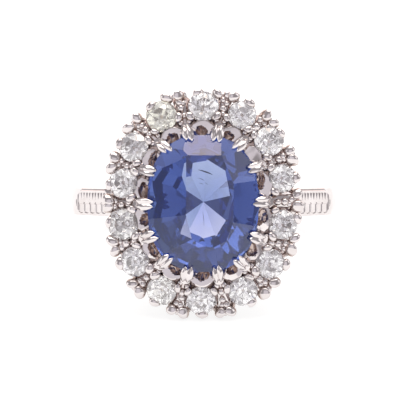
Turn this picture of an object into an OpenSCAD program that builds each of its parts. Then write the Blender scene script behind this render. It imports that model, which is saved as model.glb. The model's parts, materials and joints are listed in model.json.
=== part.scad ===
// Cluster ring: a cushion-oval sapphire in fourteen double claws, inside a
// row of fourteen old-cut diamonds in beaded claws, on a tapered band with
// engraved shoulders. The soldered metal is one solid, and each stone is its
// own. Everything is drawn upright first, as worn: X across the band, Y along
// the finger and Z out through the head, from the finger's centre. One module
// then lays the ring on its side, where it rests on the band's back edge and
// on the lowest claws.

/* [Band] */
// Inside diameter of the band, which sets the finger size
finger_d = 17.3; // [16.5:0.1:19]
// Thickness of the band at the back of the finger
back_t = 1.25; // [1.1:0.05:1.6]
// Thickness of the band at the front, under the head
front_t = 1.65; // [1.5:0.05:1.9]
// Width of the band at the shoulders
shoulder_w = 2.05; // [1.9:0.05:2.4]
// Width of the band at the back
back_w = 1.75; // [1.5:0.05:1.9]
// Rise of the crown across the band's outer face
crown_rise = 0.2; // [0.1:0.05:0.3]

/* [Engraved shoulders] */
// Angle of each flat engraved panel's middle, above the finger's centre
panel_angle = 33; // [30:1:36]
// How far the panel is filed below the round of the band
panel_depth = 0.29; // [0.2:0.01:0.35]
// Number of engraved cells on each panel
cell_count = 6; // [4:1:8]
// Depth of the engraved cuts
cut_depth = 0.12; // [0.06:0.01:0.16]

/* [Head] */
// Width of the cluster across the band
cluster_w = 14.62; // [14.4:0.01:14.9]
// Length of the cluster along the finger
cluster_l = 16.98; // [16.7:0.01:17.3]
// Squareness of the ovals, where 2 is an ellipse
squareness = 2.25; // [2:0.05:2.4]
// Outward lean of the diamonds and their collets
diamond_lean = 14; // [8:1:18]
// Height of the diamonds' girdles above the finger hole
diamond_rise = 3.45; // [3.3:0.05:3.7]
// Height of the sapphire's girdle above the finger hole
sapphire_rise = 4.3; // [4.2:0.05:4.6]

/* [Stones] */
// Width of the sapphire across the band
sapphire_w = 8.05; // [7.8:0.05:8.1]
// Length of the sapphire along the finger
sapphire_l = 9.9; // [9.6:0.05:9.95]
// Clearance between a stone and the metal that holds it
stone_gap = 0.04; // [0.03:0.01:0.06]

/* [Claws] */
// Half length of a rim claw's bead along the rim
bead_r = 0.43; // [0.36:0.01:0.44]
// Radius of a claw's stem
stem_r = 0.24; // [0.2:0.01:0.28]

/* [Hidden] */

METAL_COLOUR = [0.86, 0.83, 0.8];
SAPPHIRE_COLOUR = [0.16, 0.25, 0.66, 0.9];
DIAMOND_COLOUR = [0.9, 0.93, 0.96, 0.9];

// Each diamond: where it sits round the head, in degrees from the head's
// right side, and the diameter of its girdle
ANGLE = 0;
DIA = 1;
DIAMOND_TABLE = [
    [ 89.8, 2.20],
    [ 66.2, 2.05],
    [ 43.4, 2.15],
    [ 17.6, 2.05],
    [-14.8, 2.12],
    [-41.9, 2.15],
    [-65.6, 2.10],
    [-91.2, 2.08],
    [-115.5, 2.14],
    [-139.6, 2.15],
    [-165.5, 2.24],
    [-194.2, 2.15],
    [-218.9, 2.14],
    [-244.5, 2.22],
];
COUNT = len(DIAMOND_TABLE);
function diamond_angle(i) =
    DIAMOND_TABLE[i % COUNT][ANGLE] - 360 * floor(i / COUNT);
function diamond_r(i) = DIAMOND_TABLE[i % COUNT][DIA] / 2;
// One double claw stands in the gap after each diamond, going clockwise
function gap_angle(i) = (diamond_angle(i) + diamond_angle(i + 1)) / 2;

// Each diamond's claws: angle about the stone from its outer side, reach
// beyond the girdle, and the bead's size against the largest
TURN = 0;
REACH = 1;
BULK = 2;
CLAW_TABLE = [
    [   0, 0.12, 1.00],
    [  47, 0.26, 0.95],
    [ -47, 0.26, 0.95],
    [ 128, 0.12, 0.72],
    [-128, 0.12, 0.72],
];
bead_flat = 0.72;
bead_under = 0.7;
bead_shoulder = 0.72;
bead_shoulder_h = 0.52;
bead_h = 0.66;
stem_h = 1.2;
stem_taper = 0.8;
stem_foot = 0.8;

// The band, which stops short of the head's axis to let light in
finger_r = finger_d / 2;
band_r = (finger_d + back_t + front_t) / 2;
band_shift = (front_t - back_t) / 2;
crown_r = (pow(shoulder_w / 2, 2) + pow(crown_rise, 2)) / (2 * crown_rise);
band_opening = 5.6;

// The engraved panels: a border line, then two rows of cuts
border = 0.16;
border_line = 0.07;
row_gap = 0.12;
wedge_w = 0.144;
flute_share = 0.62;

// Heights of the girdles and the oval through the diamonds' centres
diamond_z = finger_r + diamond_rise;
sapphire_z = finger_r + sapphire_rise;
rim_reach = (diamond_r(3) + CLAW_TABLE[0][REACH]) * cos(diamond_lean) + bead_r * bead_flat;
row_a = cluster_w / 2 - rim_reach;
row_b = cluster_l / 2 - rim_reach;

// The three oval rails, by half width and half length at their middle
low_rail_a = 3.1;
low_rail_b = 4.25;
low_rail_wall = 0.7;
low_rail_h = 1.15;
low_rail_z = finger_r + 0.75;
finger_relief = 0.2;
mid_rail_a = row_a - 0.4;
mid_rail_b = row_b - 0.4;
mid_rail_wall = 0.6;
mid_rail_h = 0.5;
mid_rail_z = diamond_z - 1.3;
top_rail_a = 4.22;
top_rail_b = 5.15;
top_rail_wall = 0.4;
top_rail_h = 0.5;
top_rail_z = diamond_z + 0.3;
strut_low_r = 0.3;
strut_top_r = 0.24;

// The petals, from the sapphire out and down to the diamonds
petal_t = 0.35;
petal_lap = 0.08;
petal_w = 0.95;
petal_rise = 0.12;
petal_fall = 0.3;
petal_room = 4.5;

// The double claws: how far they stand outside the sapphire, how far they lap
// over it, and the radius of the stem at its foot and at its neck
claw_off = 0.72;
claw_lap = 0.3;
claw_side = 0.24;
claw_neck_z = sapphire_z - 0.35;
claw_foot_r = 0.24;
claw_neck_r = 0.36;

// One point of a double claw, from its root to its tip: share of the way
// from the neck in to the tip, sideways step against claw_side, height above
// the sapphire's girdle, and radius
WAY_IN = 0;
ASIDE = 1;
RISE = 2;
GIRTH = 3;
POINT_TABLE = [
    [0.10, 0.50, -0.55, 0.20],
    [0.14, 1.00,  0.15, 0.26],
    [1.00, 1.15,  0.50, 0.10],
];

// The collets under the diamonds
collet_h = 1.75;
collet_rim_z = -0.2;
collet_rim_out = 0.06;
collet_rim_in = -0.14;
collet_foot_out = 0.55;
collet_foot_in = 0.3;
SEAT_SIDES = 8;
BEAD_SIDES = 7;
OVAL_STEPS = 36;

// Proportions of the stones, against the girdle: half sizes, power of the
// outline, table, star points, crown, girdle, pavilion, waist and culet.
// Heights are in millimetres, and the rest are shares of the girdle
function diamond_form(r) = [r, r, 2, 0.5, 0.74, 0.34 * r, 0.07 * r, 0.86 * r, 0.42, 0.12];
SAPPHIRE_FORM = [sapphire_w / 2, sapphire_l / 2, 2.4, 0.56, 0.79, 1.25, 0.24, 3.35, 0.5, 0.06];
POWER = 2;
TABLE = 3;
STAR = 4;
CROWN = 5;
GIRDLE = 6;
PAVILION = 7;
WAIST = 8;
CULET = 9;

// How the ring lies: a level plane touches the rim claw of the lowest
// diamond and the band's back edge. Its furthest point at the front is on a
// double claw, and the origin is under the middle of its box
LOWEST = 7;
low_reach = diamond_r(LOWEST) + CLAW_TABLE[0][REACH]
    + bead_r * bead_flat * cos(180 / BEAD_SIDES);
low_y = oval_point(row_a, row_b, diamond_angle(LOWEST)).y - low_reach * cos(diamond_lean);
low_z = diamond_z - low_reach * sin(diamond_lean);
edge_y = -back_w / 2;
edge_z = band_shift - band_r + crown_r - sqrt(pow(crown_r, 2) - pow(edge_y, 2));
lie_tilt = atan2(edge_y - low_y, low_z - edge_z);
lie_height = -edge_y * cos(lie_tilt) - edge_z * sin(lie_tilt);
front_reach = (sapphire_z + POINT_TABLE[1][RISE]) * cos(lie_tilt)
    + (sapphire_l / 2 + claw_off) * sin(lie_tilt) + POINT_TABLE[1][GIRTH];
back_reach = (band_r - band_shift) * cos(lie_tilt) + back_w / 2 * sin(lie_tilt);
lie_shift = (front_reach - back_reach) / 2;

function oval_r(a, b, angle, power = squareness) =
    pow(pow(abs(cos(angle)) / a, power) + pow(abs(sin(angle)) / b, power), -1 / power);

function oval_point(a, b, angle, power = squareness) =
    oval_r(a, b, angle, power) * [cos(angle), sin(angle)];

// Direction square to the oval, where the given angle meets it
function oval_normal(a, b, angle) =
    let (p = oval_point(a, b, angle))
    atan2(
        sign(p.y) * pow(abs(p.y) / b, squareness - 1) / b,
        sign(p.x) * pow(abs(p.x) / a, squareness - 1) / a
    );

function at_height(p, z) = [p.x, p.y, z];

// Lays the upright ring on its side
module lie_down() {
    translate([0, lie_shift, lie_height])
        rotate([90 - lie_tilt, 0, 0])
            children();
}

// The place of one diamond: +X outwards from the head, +Z out of its table
module at_diamond(i) {
    angle = diamond_angle(i);
    translate(at_height(oval_point(row_a, row_b, angle), diamond_z))
        rotate([0, diamond_lean, oval_normal(row_a, row_b, angle)])
            children();
}

// A cut stone of eight-fold symmetry from rings of points: table, star
// points, girdle above and below, pavilion waist and culet. The star points
// and the waist are set where the main facets stay flat.
module cut_stone(form) {
    fold = 8;
    half = 180 / fold;
    function ring(count, turn, share, z) = [
        for (k = [0 : count - 1])
            let (angle = turn + k * 360 / count)
            at_height(share * oval_point(form[0], form[1], angle, form[POWER]), z)
    ];
    top = form[GIRDLE] / 2;
    star_z = top + form[CROWN] * (1 - form[STAR] * cos(half)) / (1 - form[TABLE]);
    waist_z = -top
        - form[PAVILION] * (1 - form[WAIST] * cos(half)) / (1 - form[CULET] * cos(half));
    points = concat(
        ring(fold, 0, form[TABLE], top + form[CROWN]),
        ring(fold, half, form[STAR], star_z),
        ring(2 * fold, 0, 1, top),
        ring(2 * fold, 0, 1, -top),
        ring(fold, half, form[WAIST], waist_z),
        ring(fold, half, form[CULET], -top - form[PAVILION])
    );
    // Point numbers: table, star, upper and lower girdle, waist and culet
    function t(k) = (k + fold) % fold;
    function s(k) = fold + t(k);
    function g(k) = 2 * fold + (k + 2 * fold) % (2 * fold);
    function h(k) = 2 * fold + g(k);
    function w(k) = 6 * fold + t(k);
    function c(k) = 7 * fold + t(k);
    eighths = [
        for (k = [0 : fold - 1])
            each [
                [t(k), s(k), t(k + 1)],
                [t(k), g(2 * k), s(k)],
                [t(k), s(k - 1), g(2 * k)],
                [s(k), g(2 * k), g(2 * k + 1)],
                [s(k), g(2 * k + 1), g(2 * k + 2)],
                [h(2 * k), w(k), h(2 * k + 1)],
                [h(2 * k + 1), w(k), h(2 * k + 2)],
                [h(2 * k), w(k - 1), w(k)],
                [w(k - 1), c(k), w(k)],
                [w(k - 1), c(k - 1), c(k)],
            ]
    ];
    sides = [for (k = [0 : 2 * fold - 1]) [g(k), h(k), h(k + 1), g(k + 1)]];
    table = [for (k = [0 : fold - 1]) t(k)];
    culet = [for (k = [fold - 1 : -1 : 0]) c(k)];
    polyhedron(points, concat(eighths, sides, [table, culet]));
}

// A rod of five sides through the given points, with a radius at each
module bent_rod(path, radii, sides = 5) {
    last = len(path) - 1;
    function unit(v) = v / norm(v);
    function ring(k) =
        let (
            along = unit(path[min(k + 1, last)] - path[max(k - 1, 0)]),
            across = unit(cross(along, [path[0].y, -path[0].x, 0])),
            third = cross(along, across)
        )
        [for (j = [0 : sides - 1])
            path[k] + radii[k] * (cos(j * 360 / sides) * across + sin(j * 360 / sides) * third)];
    points = [for (k = [0 : last]) each ring(k)];
    function p(k, j) = k * sides + j % sides;
    polyhedron(points, concat(
        [[for (j = [0 : sides - 1]) j]],
        [for (k = [0 : last - 1], j = [0 : sides - 1])
            each [[p(k, j), p(k + 1, j), p(k + 1, j + 1)], [p(k, j), p(k + 1, j + 1), p(k, j + 1)]]],
        [[for (j = [sides - 1 : -1 : 0]) p(last, j)]]
    ));
}

// An oval ring lofted between two levels. Each level holds the wall's middle
// as half width and half length, then its height, and thickness is the wall
module oval_wall(low, high, thickness) {
    function loop(level, offset) = [
        for (k = [0 : OVAL_STEPS - 1])
            let (p = oval_point(level[0] + offset, level[1] + offset, k * 360 / OVAL_STEPS))
            at_height(p, level[2])
    ];
    half = thickness / 2;
    points = concat(loop(low, half), loop(high, half), loop(high, -half), loop(low, -half));
    function p(r, k) = (r % 4) * OVAL_STEPS + k % OVAL_STEPS;
    polyhedron(points, [
        for (r = [0 : 3], k = [0 : OVAL_STEPS - 1])
            each [[p(r, k), p(r + 1, k), p(r + 1, k + 1)], [p(r, k), p(r + 1, k + 1), p(r, k + 1)]]
    ]);
}

// Outer face of the band: a crowned rim of revolution
module band_blank() {
    translate([0, 0, band_shift])
        rotate([90, 0, 0])
            rotate_extrude($fn = 128)
                intersection() {
                    translate([finger_r / 2, -shoulder_w / 2])
                        square([band_r, shoulder_w]);
                    translate([band_r - crown_r, 0])
                        circle(crown_r, $fn = 96);
                }
}

// Side faces of the band, which narrow from the shoulders to the back
module band_taper() {
    top = 1.1 * band_r;
    bottom = band_r - band_shift;
    taper_start = 2;
    rotate([90, 0, 90])
        translate([0, 0, -top])
            linear_extrude(2 * top)
                polygon([
                    [shoulder_w / 2, top],
                    [shoulder_w / 2, taper_start],
                    [back_w / 2, -bottom],
                    [-back_w / 2, -bottom],
                    [-shoulder_w / 2, taper_start],
                    [-shoulder_w / 2, top],
                ]);
}

// One engraved panel's cuts, on a plane at z = 0 with X along the band
module panel_cuts(length) {
    line_y = shoulder_w / 2 - border;
    row_w = line_y - row_gap;
    row_y = (row_gap + row_w) / 2;
    pitch = (length - 4 * border) / cell_count;
    for (y = [-line_y, line_y])
        translate([0, y, 0])
            cube([length - 2 * border, border_line, cut_depth], center = true);
    for (k = [0 : cell_count - 1])
        translate([(k + 0.5 - cell_count / 2) * pitch, 0, 0]) {
            for (x = [-pitch / 4, pitch / 4])
                translate([x, row_y, 0])
                    rotate([0, 45, 0])
                        cube([wedge_w, row_w, wedge_w], center = true);
            translate([0, -row_y, 0])
                cube([pitch * flute_share, row_w, cut_depth], center = true);
        }
}

// The round band with its filed and engraved shoulders and the finger hole
module band() {
    panel_r = band_r + band_shift * sin(panel_angle) - panel_depth;
    panel_length = 2 * sqrt(panel_depth * (2 * band_r - panel_depth));
    difference() {
        intersection() {
            band_blank();
            band_taper();
        }
        rotate([90, 0, 0])
            cylinder(r = finger_r, h = 3 * shoulder_w, center = true, $fn = 128);
        translate([-band_opening / 2, -shoulder_w, 0])
            cube([band_opening, 2 * shoulder_w, 2 * band_r]);
        for (side = [0, 180])
            rotate([0, 0, side])
                rotate([0, 90 - panel_angle, 0])
                    translate([0, 0, panel_r]) {
                        translate([-panel_length, -shoulder_w, 0])
                            cube([2 * panel_length, 2 * shoulder_w, 1]);
                        panel_cuts(panel_length);
                    }
    }
}

// Turns an outline of radius and height, with a flat towards each claw
module turned(outline) {
    rotate([0, 0, 180 / SEAT_SIDES])
        rotate_extrude($fn = SEAT_SIDES)
            polygon(outline);
}

// Open cone under one diamond
module collet(i) {
    r = diamond_r(i);
    turned([
        [r * collet_foot_out, -collet_h],
        [r + collet_rim_out, collet_rim_z],
        [r + collet_rim_in, collet_rim_z],
        [r * collet_foot_in, -collet_h],
    ]);
}

// One claw of a diamond: a leaning stem that ends in a flattened bead
module claw(i, row) {
    r = bead_r * row[BULK];
    foot = diamond_r(i) * stem_foot;
    lean = diamond_r(i) + row[REACH] - foot;
    rotate([0, 0, row[TURN]])
        multmatrix([
            [bead_flat, 0, lean / stem_h, foot],
            [0, 1, 0, 0],
            [0, 0, 1, -stem_h],
        ])
            rotate_extrude($fn = BEAD_SIDES)
                polygon([
                    [0, 0],
                    [stem_r * stem_taper, 0],
                    [stem_r, stem_h - r * bead_under],
                    [r, stem_h],
                    [r * bead_shoulder, stem_h + r * bead_shoulder_h],
                    [0, stem_h + r * bead_h],
                ]);
}

// What is cut away for a diamond: its own form, grown by the clearance
module diamond_seat(i) {
    form = diamond_form((diamond_r(i) + stone_gap) / cos(180 / SEAT_SIDES));
    r = form[0];
    top = form[GIRDLE] / 2 + stone_gap;
    turned([
        [0, -top - form[PAVILION]],
        [r, -top],
        [r, top],
        [0, top + form[CROWN] / (1 - form[TABLE])],
    ]);
}

// One double claw of the sapphire: a stem that splits into two points
module double_claw(i) {
    angle = gap_angle(i);
    foot = oval_point(low_rail_a, low_rail_b, angle);
    neck = oval_point(sapphire_w / 2 + claw_off, sapphire_l / 2 + claw_off, angle);
    point = oval_point(sapphire_w / 2 - claw_lap, sapphire_l / 2 - claw_lap, angle);
    side = claw_side * [-sin(angle), cos(angle)];
    bent_rod(
        [at_height(foot, low_rail_z - strut_low_r), at_height(neck, claw_neck_z)],
        [claw_foot_r, claw_neck_r]
    );
    for (way = [-1, 1])
        bent_rod(
            [for (row = POINT_TABLE) at_height(
                neck + row[WAY_IN] * (point - neck) + way * row[ASIDE] * side,
                sapphire_z + row[RISE]
            )],
            [for (row = POINT_TABLE) row[GIRTH]]
        );
}

// What is cut away for the sapphire: its own form, grown by the clearance
module sapphire_seat() {
    translate([0, 0, sapphire_z])
        scale(1 + 2 * stone_gap / sapphire_w)
            cut_stone(SAPPHIRE_FORM);
}

// The pale plate beside one diamond, between two double claws
module petal(i) {
    turns = [
        gap_angle(i) + petal_room,
        diamond_angle(i),
        gap_angle(i + COUNT - 1) - petal_room,
    ];
    function edge(out, z) = [
        for (angle = turns)
            at_height(oval_point(top_rail_a + out, top_rail_b + out, angle), top_rail_z + z)
    ];
    top = concat(edge(-petal_lap, petal_rise), edge(petal_w, -petal_fall));
    points = concat(top, [for (p = top) p - [0, 0, petal_t]]);
    halves = [
        for (k = [0, 1])
            each [
                [k, k + 1, k + 4, k + 3],
                [k + 6, k + 9, k + 10, k + 7],
                [k, k + 6, k + 7, k + 1],
                [k + 3, k + 4, k + 10, k + 9],
            ]
    ];
    polyhedron(points, concat(halves, [[0, 3, 9, 6], [2, 8, 11, 5]]));
}

// The three rails and the struts that carry the diamonds' rail
module gallery() {
    difference() {
        oval_wall([low_rail_a, low_rail_b, low_rail_z - low_rail_h],
            [low_rail_a, low_rail_b, low_rail_z], low_rail_wall);
        rotate([90, 0, 0])
            cylinder(r = finger_r + finger_relief, h = 4 * low_rail_b, center = true, $fn = 48);
    }
    oval_wall([mid_rail_a, mid_rail_b, mid_rail_z - mid_rail_h],
        [mid_rail_a, mid_rail_b, mid_rail_z], mid_rail_wall);
    oval_wall([top_rail_a, top_rail_b, top_rail_z - top_rail_h],
        [top_rail_a, top_rail_b, top_rail_z], top_rail_wall);
    for (i = [0 : COUNT - 1])
        bent_rod(
            [
                at_height(oval_point(low_rail_a, low_rail_b, gap_angle(i)), low_rail_z - strut_top_r),
                at_height(oval_point(mid_rail_a, mid_rail_b, gap_angle(i)), mid_rail_z - strut_top_r),
            ],
            [strut_low_r, strut_top_r]
        );
}

// The whole soldered head, cut clear of every stone
module head() {
    difference() {
        union() {
            gallery();
            for (i = [0 : COUNT - 1]) {
                petal(i);
                double_claw(i);
                at_diamond(i) {
                    collet(i);
                    for (row = CLAW_TABLE)
                        claw(i, row);
                }
            }
        }
        sapphire_seat();
        for (i = [0 : COUNT - 1])
            at_diamond(i)
                diamond_seat(i);
    }
}

module setting() {
    color(METAL_COLOUR)
        lie_down() {
            band();
            head();
        }
}

module sapphire() {
    color(SAPPHIRE_COLOUR)
        lie_down()
            translate([0, 0, sapphire_z])
                cut_stone(SAPPHIRE_FORM);
}

module diamond(i) {
    color(DIAMOND_COLOUR)
        lie_down()
            at_diamond(i)
                cut_stone(diamond_form(diamond_r(i)));
}

setting();
sapphire();
for (i = [0 : COUNT - 1])
    diamond(i);
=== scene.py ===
"""Looks of the cluster ring: stones, claws, gallery and engraved band, on a pale floor.

Every shape is drawn in millimetres on the upright ring, as worn: X across the band, Y along
the finger and Z out through the head, from the finger's centre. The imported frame's finger
hole says how the ring lies, and one matrix takes each piece there, in metres.
"""

from __future__ import annotations

import json
import logging
import math
import random
from dataclasses import dataclass, field
from enum import Enum
from typing import Callable, Iterable, Sequence

import bmesh
import bpy
from mathutils import Matrix, Vector, noise

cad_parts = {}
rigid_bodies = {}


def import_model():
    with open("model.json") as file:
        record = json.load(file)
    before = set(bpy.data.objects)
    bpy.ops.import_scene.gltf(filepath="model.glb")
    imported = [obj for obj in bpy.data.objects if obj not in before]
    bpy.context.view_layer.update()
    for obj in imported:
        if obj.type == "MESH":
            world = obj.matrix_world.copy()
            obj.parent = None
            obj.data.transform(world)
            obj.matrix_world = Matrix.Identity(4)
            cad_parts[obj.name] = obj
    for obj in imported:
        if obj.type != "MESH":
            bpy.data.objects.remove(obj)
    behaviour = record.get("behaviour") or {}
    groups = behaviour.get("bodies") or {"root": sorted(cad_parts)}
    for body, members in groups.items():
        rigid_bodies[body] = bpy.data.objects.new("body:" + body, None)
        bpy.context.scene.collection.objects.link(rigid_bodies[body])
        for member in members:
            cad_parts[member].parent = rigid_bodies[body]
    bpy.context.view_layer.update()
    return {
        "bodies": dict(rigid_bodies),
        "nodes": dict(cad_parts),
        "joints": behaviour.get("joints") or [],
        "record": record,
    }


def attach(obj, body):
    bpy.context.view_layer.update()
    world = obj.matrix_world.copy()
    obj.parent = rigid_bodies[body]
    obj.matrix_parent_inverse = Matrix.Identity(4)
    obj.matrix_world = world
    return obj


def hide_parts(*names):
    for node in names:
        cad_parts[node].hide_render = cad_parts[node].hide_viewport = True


log = logging.getLogger("cluster_ring")

MM = 0.001
BODY = "root"
HAND_SEED = 3
FULL_TURN = 2 * math.pi
UP = Vector((0.0, 0.0, 1.0))
WIRE_SIDES = 12

Colour = tuple[float, float, float]
Span = tuple[float, float]
Plane = tuple[Vector, Vector]
Section = Sequence[tuple[float, float]]


class Slot(Enum):
    """The record's material slots."""

    GOLD = "white_gold"
    SAPPHIRE = "sapphire"
    DIAMOND = "diamond"


class Shading(Enum):
    """How a mesh turns light at its edges."""

    SMOOTH = "smooth"
    CREASED = "creased"
    FLAT = "flat"


def around(sides: int) -> list[float]:
    """Returns the angles of so many points round a circle, in radians."""
    return [FULL_TURN * j / sides for j in range(sides)]


def polar(r: float, angle: float, z: float = 0.0) -> Vector:
    """Returns the point at a distance and an angle in radians."""
    return Vector((r * math.cos(angle), r * math.sin(angle), z))


def bearing(point: Vector) -> float:
    """Returns a point's direction about Z, in degrees."""
    return math.degrees(math.atan2(point.y, point.x))


def operator(operation: str, swapped: bool = False) -> Callable[..., Value]:
    """Makes the method behind one of Python's operators.

    Args:
        operation: what its Math node does.
        swapped: whether the values change places, as in a reflected operator.

    Returns:
        The method.
    """

    def work(self: Value, *others: Value | float) -> Value:
        """Returns the output of one Math node that works on the values."""
        values = (*others, self) if swapped else (self, *others)
        return self.shop.node("ShaderNodeMath", dict(enumerate(values)), operation=operation)

    return work


class Value:
    """One output of a shader tree, which adds Math nodes when it is worked with."""

    def __init__(self, shop: Shop, socket: bpy.types.NodeSocket | None) -> None:
        """Keeps the tree's builder, and the output that holds the value."""
        self.shop, self.socket = shop, socket

    __add__ = __radd__ = operator("ADD")
    __sub__, __rsub__ = operator("SUBTRACT"), operator("SUBTRACT", swapped=True)
    __mul__ = __rmul__ = operator("MULTIPLY")
    __truediv__ = operator("DIVIDE")
    __abs__ = operator("ABSOLUTE")

    def above(self, low: float, high: float) -> Value:
        """Returns a soft step from 0 at low to 1 at high."""
        inputs = {0: self, 1: low, 2: high}
        return self.shop.node("ShaderNodeMapRange", inputs, interpolation_type="SMOOTHSTEP")


class Shop:
    """Builds one node tree."""

    def __init__(self, tree: bpy.types.NodeTree) -> None:
        """Empties the tree that is to be filled."""
        self.tree = tree
        tree.nodes.clear()

    def node(
        self, kind: str, inputs: dict | None = None, output: str | int = 0, **settings: object
    ) -> Value:
        """Adds a node of any type.

        Args:
            kind: the node's type.
            inputs: the number, colour or Value of each input, by name or place.
            output: which output to return.
            settings: the node's settings, which are made first.

        Returns:
            The chosen output.
        """
        made = self.tree.nodes.new(kind)
        for name, setting in settings.items():
            setattr(made, name, setting)
        for name, value in (inputs or {}).items():
            if isinstance(value, Value):
                self.tree.links.new(value.socket, made.inputs[name])
            else:
                made.inputs[name].default_value = value
        return Value(self, made.outputs[output] if made.outputs else None)

    def mix(self, factor: Value | float, low: Colour | Value, high: Colour | Value) -> Value:
        """Returns the colour that lies between two, at low where the factor is 0."""
        ends = [(*c, 1.0) if isinstance(c, tuple) else c for c in (low, high)]
        return self.node("ShaderNodeMix", {0: factor, 6: ends[0], 7: ends[1]}, 2, data_type="RGBA")

    def dot(self, vector: Value, axis: Vector) -> Value:
        """Returns a vector's reach along an axis."""
        inputs = {0: vector, 1: tuple(axis)}
        return self.node("ShaderNodeVectorMath", inputs, "Value", operation="DOT_PRODUCT")

    def cloud(self, place: Value, scale: float, detail: float = 3.0) -> Value:
        """Returns noise of so many spots in a unit of the place."""
        return self.node("ShaderNodeTexNoise", {"Vector": place, "Scale": scale, "Detail": detail})


@dataclass(frozen=True)
class Finish:
    """A finish of one Principled shader."""

    name: str

    def paint(self, shop: Shop, place: Value) -> dict[str, object]:
        """Returns the shader's inputs, from the tree's builder and each point's place."""
        raise NotImplementedError

    def volume(self) -> dict[str, object]:
        """Returns the inputs of the absorption inside, or none."""
        return {}

    def material(self) -> bpy.types.Material:
        """Builds the material.

        Returns:
            The finished material.
        """
        made = bpy.data.materials.new(self.name)
        made.use_nodes = True
        shop = Shop(made.node_tree)
        place = shop.node("ShaderNodeTexCoord", output="Object")
        output = {"Surface": shop.node("ShaderNodeBsdfPrincipled", self.paint(shop, place))}
        if self.volume():
            output["Volume"] = shop.node("ShaderNodeVolumeAbsorption", self.volume())
        shop.node("ShaderNodeOutputMaterial", output)
        return made


@dataclass(frozen=True)
class WhiteGold(Finish):
    """Polished white gold, worn by hand, browned with painted shade as much as a point attribute
    says.
    """

    name: str = "white_gold_worn"
    colour: Colour = (0.82, 0.775, 0.775)
    dull: Colour = (0.75, 0.70, 0.695)
    # Brown painted shade: its colour, how fully and how patchily it is laid, and how rough it
    # makes the metal.
    painted_shade: Colour = (0.50, 0.39, 0.34)
    painted_shade_cover: float = 0.82
    painted_shade_patchy: float = 0.7
    painted_shade_rough: float = 0.15
    polish: float = 0.05
    worn: float = 0.13
    scratch: float = 0.10
    scratch_depth: float = 0.00002
    patch_scale: float = 900.0
    grain_scale: float = 5200.0
    painted_shade_step: Span = (0.25, 0.95)
    dull_step: Span = (0.35, 0.7)
    worn_step: Span = (0.4, 0.8)

    def paint(self, shop: Shop, place: Value) -> dict[str, object]:
        """Paints worn patches, fine scratches and brown painted shade.

        Args:
            shop: the tree's builder.
            place: each point's place.

        Returns:
            The shader's inputs.
        """
        patches = shop.cloud(place, self.patch_scale)
        grain = shop.cloud(place, self.grain_scale, 2.0)
        # Painted shade: a per-point amount, set as each piece is drafted, browns hollows,
        # undersides and lower parts.
        painted_shade_amount = shop.node("ShaderNodeAttribute", output="Fac", attribute_name="painted_shade_amount")
        deep = painted_shade_amount + (patches - 0.5) * self.painted_shade_patchy
        painted_shade = deep.above(*self.painted_shade_step) * self.painted_shade_cover
        bright = shop.mix(patches.above(*self.dull_step), self.colour, self.dull)
        wear = patches.above(*self.worn_step) * (self.worn - self.polish)
        relief = {"Distance": self.scratch_depth, "Height": grain + patches * 2.0}
        return {
            "Base Color": shop.mix(painted_shade, bright, self.painted_shade),
            "Metallic": 1.0,
            "Roughness": self.polish + wear + painted_shade * self.painted_shade_rough,
            "Normal": shop.node("ShaderNodeBump", {"Strength": self.scratch, **relief}),
        }


@dataclass(frozen=True)
class GemGlass(Finish):
    """A clear or coloured cut stone, whose colour deepens along the light's way."""

    tint: Colour
    cloudy: Colour
    ior: float
    depth_colour: Colour = (1.0, 1.0, 1.0)
    depth_density: float = 0.0
    cloud_scale: float = 700.0
    clear: float = 1.0
    # Painted light: a faint glow from the stone itself.
    painted_glow: Colour = (0.0, 0.0, 0.0)
    painted_glow_strength: float = 0.0
    cloud_detail: float = 4.0
    cloud_step: Span = (0.35, 0.7)

    def paint(self, shop: Shop, place: Value) -> dict[str, object]:
        """Paints glass whose tint drifts a little, with a faint painted glow.

        Args:
            shop: the tree's builder.
            place: each point's place.

        Returns:
            The shader's inputs.
        """
        drift = shop.cloud(place, self.cloud_scale, self.cloud_detail).above(*self.cloud_step)
        return {
            "Base Color": shop.mix(drift, self.tint, self.cloudy),
            "Roughness": 0.0,
            "IOR": self.ior,
            "Transmission Weight": self.clear,
            # Painted light: the stone glows faintly.
            "Emission Color": (*self.painted_glow, 1.0),
            "Emission Strength": self.painted_glow_strength,
        }

    def volume(self) -> dict[str, object]:
        """Returns the inputs of the absorption inside, or none for a clear stone."""
        inside = {"Color": (*self.depth_colour, 1.0), "Density": self.depth_density}
        return inside if self.depth_density else {}


@dataclass(frozen=True)
class Silk(Finish):
    """The dull dark needles inside a natural stone."""

    name: str = "sapphire_silk"
    dark: Colour = (0.02, 0.025, 0.06)
    pale: Colour = (0.07, 0.08, 0.16)
    rough: float = 0.6
    scale: float = 4000.0

    def paint(self, shop: Shop, place: Value) -> dict[str, object]:
        """Returns the shader's inputs, with a tone that drifts along the needles."""
        tone = shop.mix(shop.cloud(place, self.scale), self.dark, self.pale)
        return {"Base Color": tone, "Roughness": self.rough}


@dataclass(frozen=True)
class Paper(Finish):
    """The pale floor, which glows as lit paper does."""

    name: str = "floor_paper"
    tone: Colour = (0.30, 0.30, 0.30)
    warm: Colour = (0.306, 0.305, 0.304)
    scale: float = 60.0
    light: float = 2.85

    def paint(self, shop: Shop, place: Value) -> dict[str, object]:
        """Chooses the paper's shader inputs, with a tone that hardly drifts.

        Args:
            shop: where the nodes are built.
            place: the point that is shaded.

        Returns:
            The inputs by name.
        """
        tone = shop.mix(shop.cloud(place, self.scale), self.tone, self.warm)
        lit = {"Emission Color": tone, "Emission Strength": self.light}
        return {"Base Color": tone, "Roughness": 1.0, "Specular IOR Level": 0.0, **lit}


@dataclass(frozen=True)
class Stone:
    """One diamond of the row: place round the head, size, outline, beads and water.

    The beads stand on the rim at so many degrees from the diamond. The hole is the sunken opening,
    darkened with painted shade, between it and the sapphire: degrees from the diamond, and width.
    """

    angle: float
    dia: float
    power: float
    turn: float
    beads: tuple[float, float, float]
    hole: tuple[float, float]
    yellow: float = 0.0
    grey: float = 0.0


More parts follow.
